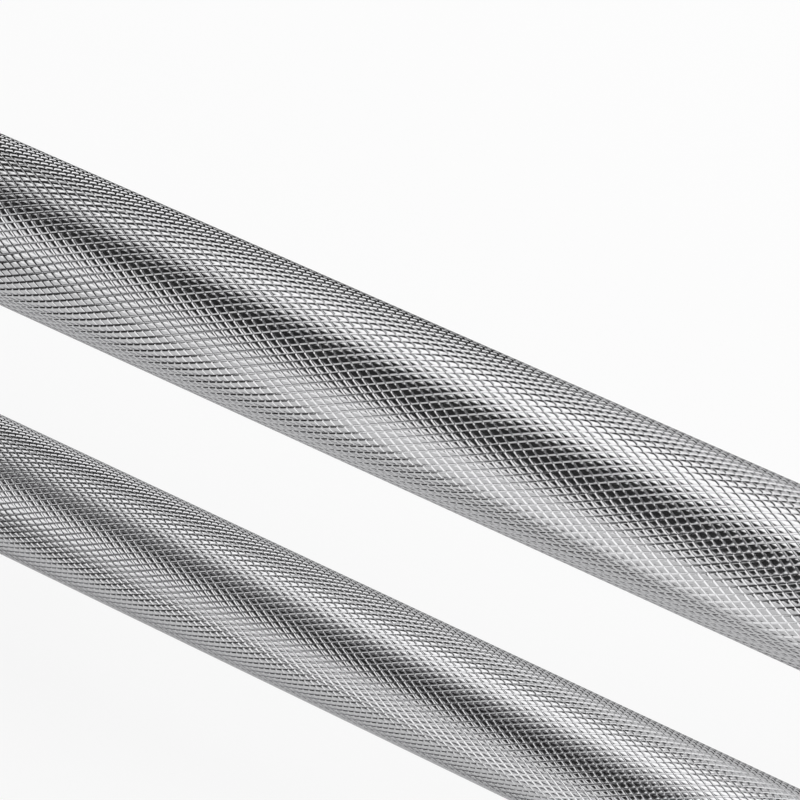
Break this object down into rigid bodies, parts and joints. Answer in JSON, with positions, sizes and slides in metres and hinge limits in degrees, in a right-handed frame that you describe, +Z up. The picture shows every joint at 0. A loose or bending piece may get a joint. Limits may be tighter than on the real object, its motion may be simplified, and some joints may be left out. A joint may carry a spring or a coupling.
{
  "type": "trap bar",
  "caption": "Hexagonal trap bar in chromed steel, with flush and raised knurled handles on each side and turning sleeves for weight plates at its ends.",
  "frame": {"origin": "on the floor under the middle of the bar, midway between the sleeves' ends and between the rails", "axes": "+X towards the lifter's right, along the sleeves; +Y towards the lifter's front; +Z up"},
  "size_m": [1.4858, 0.67, 0.1833],
  "materials": {
    "chromed_steel": "bright chrome plate on drawn steel",
    "knurled_chrome": "bright chrome plate over a diamond knurl",
    "bronze": "turned sintered bronze, oiled",
    "spring_steel": "blackened spring steel",
    "cap_polymer": "moulded black polymer, fine matt grain"
  },
  "bodies": {
    "frame": {"front_rail": "chromed_steel", "rear_rail": "chromed_steel", "left_front_diagonal": "chromed_steel", "left_rear_diagonal": "chromed_steel", "right_front_diagonal": "chromed_steel", "right_rear_diagonal": "chromed_steel", "left_end_tube": "chromed_steel", "right_end_tube": "chromed_steel", "left_front_post": "chromed_steel", "left_rear_post": "chromed_steel", "right_front_post": "chromed_steel", "right_rear_post": "chromed_steel", "left_front_post_cap": "chromed_steel", "left_rear_post_cap": "chromed_steel", "right_front_post_cap": "chromed_steel", "right_rear_post_cap": "chromed_steel", "left_spindle": "chromed_steel", "right_spindle": "chromed_steel", "left_retaining_washer": "chromed_steel", "right_retaining_washer": "chromed_steel", "left_flush_handle": "knurled_chrome", "left_raised_handle": "knurled_chrome", "right_flush_handle": "knurled_chrome", "right_raised_handle": "knurled_chrome", "left_thrust_washer": "bronze", "right_thrust_washer": "bronze", "left_snap_ring": "spring_steel", "right_snap_ring": "spring_steel"},
    "left_sleeve_set": {"left_sleeve": "chromed_steel", "left_flange": "chromed_steel", "left_inner_bushing": "bronze", "left_outer_bushing": "bronze", "left_sleeve_cap": "cap_polymer"},
    "right_sleeve_set": {"right_sleeve": "chromed_steel", "right_flange": "chromed_steel", "right_inner_bushing": "bronze", "right_outer_bushing": "bronze", "right_sleeve_cap": "cap_polymer"}
  },
  "joints": [
    {"name": "left_sleeve_spin", "type": "hinge", "parent": "frame", "child": "left_sleeve_set", "pos_m": [-0.4776, 0, 0.04], "axis": [1, 0, 0], "continuous": true},
    {"name": "right_sleeve_spin", "type": "hinge", "parent": "frame", "child": "right_sleeve_set", "pos_m": [0.4776, 0, 0.04], "axis": [1, 0, 0], "continuous": true}
  ]
}
